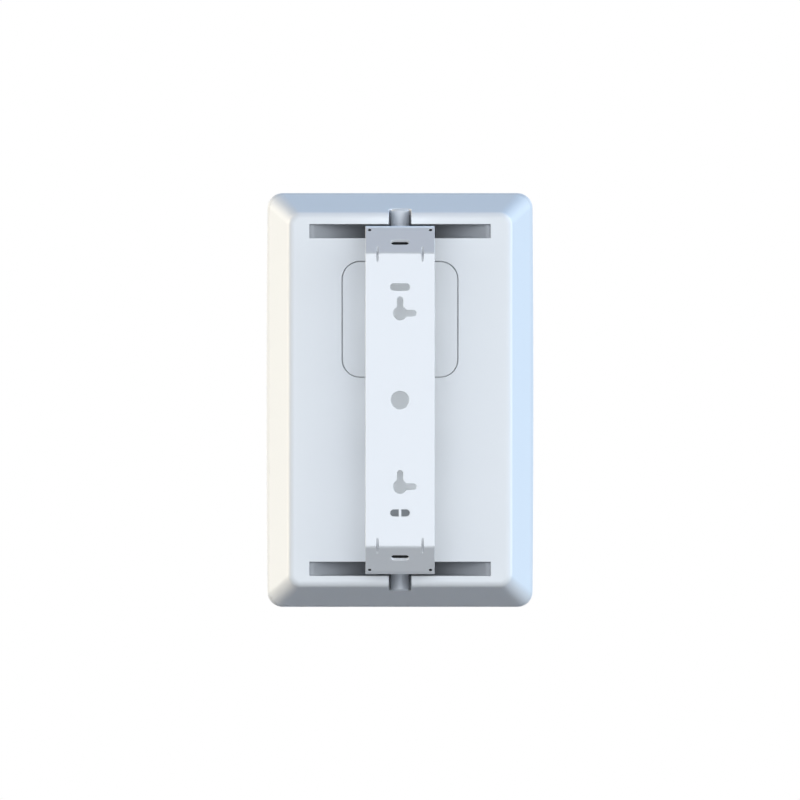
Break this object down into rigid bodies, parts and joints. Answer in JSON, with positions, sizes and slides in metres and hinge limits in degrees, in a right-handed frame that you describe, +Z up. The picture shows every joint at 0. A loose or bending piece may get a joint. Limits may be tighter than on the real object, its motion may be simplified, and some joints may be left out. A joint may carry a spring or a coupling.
{
  "type": "on-wall loudspeaker",
  "caption": "White on-wall loudspeaker with a tapered moulded cabinet and a full-face grille, held by a U-shaped steel bracket with keyholes and swivelling sideways on it.",
  "frame": {"origin": "centre of the cable hole in the bracket, on the bracket face that lies on the wall", "axes": "+Z up, +Y into the wall, so the grille faces -Y; +X is to the right of someone who faces the wall and looks at the grille"},
  "size_m": [0.197, 0.2205, 0.3052],
  "materials": {
    "white_steel": "white powder coat, fine texture",
    "white_plastic": "white moulded plastic, fine satin texture",
    "grille_steel": "white powder coat on perforated steel",
    "cloth": "black acoustic scrim",
    "foam": "black closed-cell foam strip",
    "bolt_steel": "dull nickel plate, turned",
    "spacer_plastic": "black acetal",
    "brass": "bright turned brass",
    "black_plastic": "black moulded plastic",
    "red_plastic": "red moulded plastic",
    "black_rubber": "black rubber",
    "basket_steel": "black powder coat on pressed steel",
    "cone_plastic": "dark grey filled polypropylene",
    "spider_cloth": "resin-treated cloth",
    "coil_copper": null,
    "motor_steel": "zinc-plated steel",
    "ferrite": "dark grey sintered ferrite",
    "magnet_nickel": "nickel-plated sintered magnet",
    "dome_silk": "coated silk",
    "zinc_screw": "zinc-plated steel",
    "black_screw": "black oxide steel",
    "board": "green glass-fibre board",
    "capacitor_film": "yellow film wrap",
    "ceramic": "off-white ceramic",
    "wadding": "grey polyester wadding",
    "nylon": "natural nylon",
    "lead_pair": "red and black insulated wire"
  },
  "bodies": {
    "bracket": {"u_bracket": "white_steel"},
    "cabinet": {"rear_shell": "white_plastic", "front_baffle": "white_plastic", "baffle_gasket": "foam", "grille": "grille_steel", "grille_cloth": "cloth", "pivot_bolt_top": "bolt_steel", "pivot_bolt_bottom": "bolt_steel", "pivot_spacer_top": "spacer_plastic", "pivot_spacer_bottom": "spacer_plastic", "pivot_insert_top": "brass", "pivot_insert_bottom": "brass", "safety_insert": "brass", "safety_plug": "black_plastic", "terminal_cover": "white_plastic", "cover_gasket": "foam", "cover_screws": "zinc_screw", "cable_grommet": "black_rubber", "terminal_cup": "black_plastic", "terminal_post_red": "red_plastic", "terminal_post_black": "black_plastic", "woofer_basket": "basket_steel", "woofer_gasket": "black_rubber", "woofer_surround": "black_rubber", "woofer_cone": "cone_plastic", "woofer_dust_cap": "cone_plastic", "woofer_spider": "spider_cloth", "woofer_voice_coil": "coil_copper", "woofer_top_plate": "motor_steel", "woofer_magnet": "ferrite", "woofer_yoke": "motor_steel", "woofer_screws": "black_screw", "tweeter_waveguide": "black_plastic", "tweeter_dome": "dome_silk", "tweeter_voice_coil": "coil_copper", "tweeter_top_plate": "motor_steel", "tweeter_magnet": "magnet_nickel", "tweeter_yoke": "motor_steel", "tweeter_screws": "black_screw", "port_tube_left": "black_plastic", "port_tube_right": "black_plastic", "baffle_screws": "black_screw", "crossover_board": "board", "board_spacers": "nylon", "board_screws": "zinc_screw", "woofer_inductor": "coil_copper", "tweeter_inductor": "coil_copper", "large_capacitor": "capacitor_film", "small_capacitor": "capacitor_film", "power_resistor": "ceramic", "damping_pad_left": "wadding", "damping_pad_right": "wadding", "input_leads": "lead_pair", "woofer_leads": "lead_pair", "tweeter_leads": "lead_pair"}
  },
  "joints": [
    {"name": "swivel", "type": "hinge", "parent": "bracket", "child": "cabinet", "pos_m": [0, -0.0725, 0], "axis": [0, 0, 1], "range_deg": [-35, 35]}
  ]
}
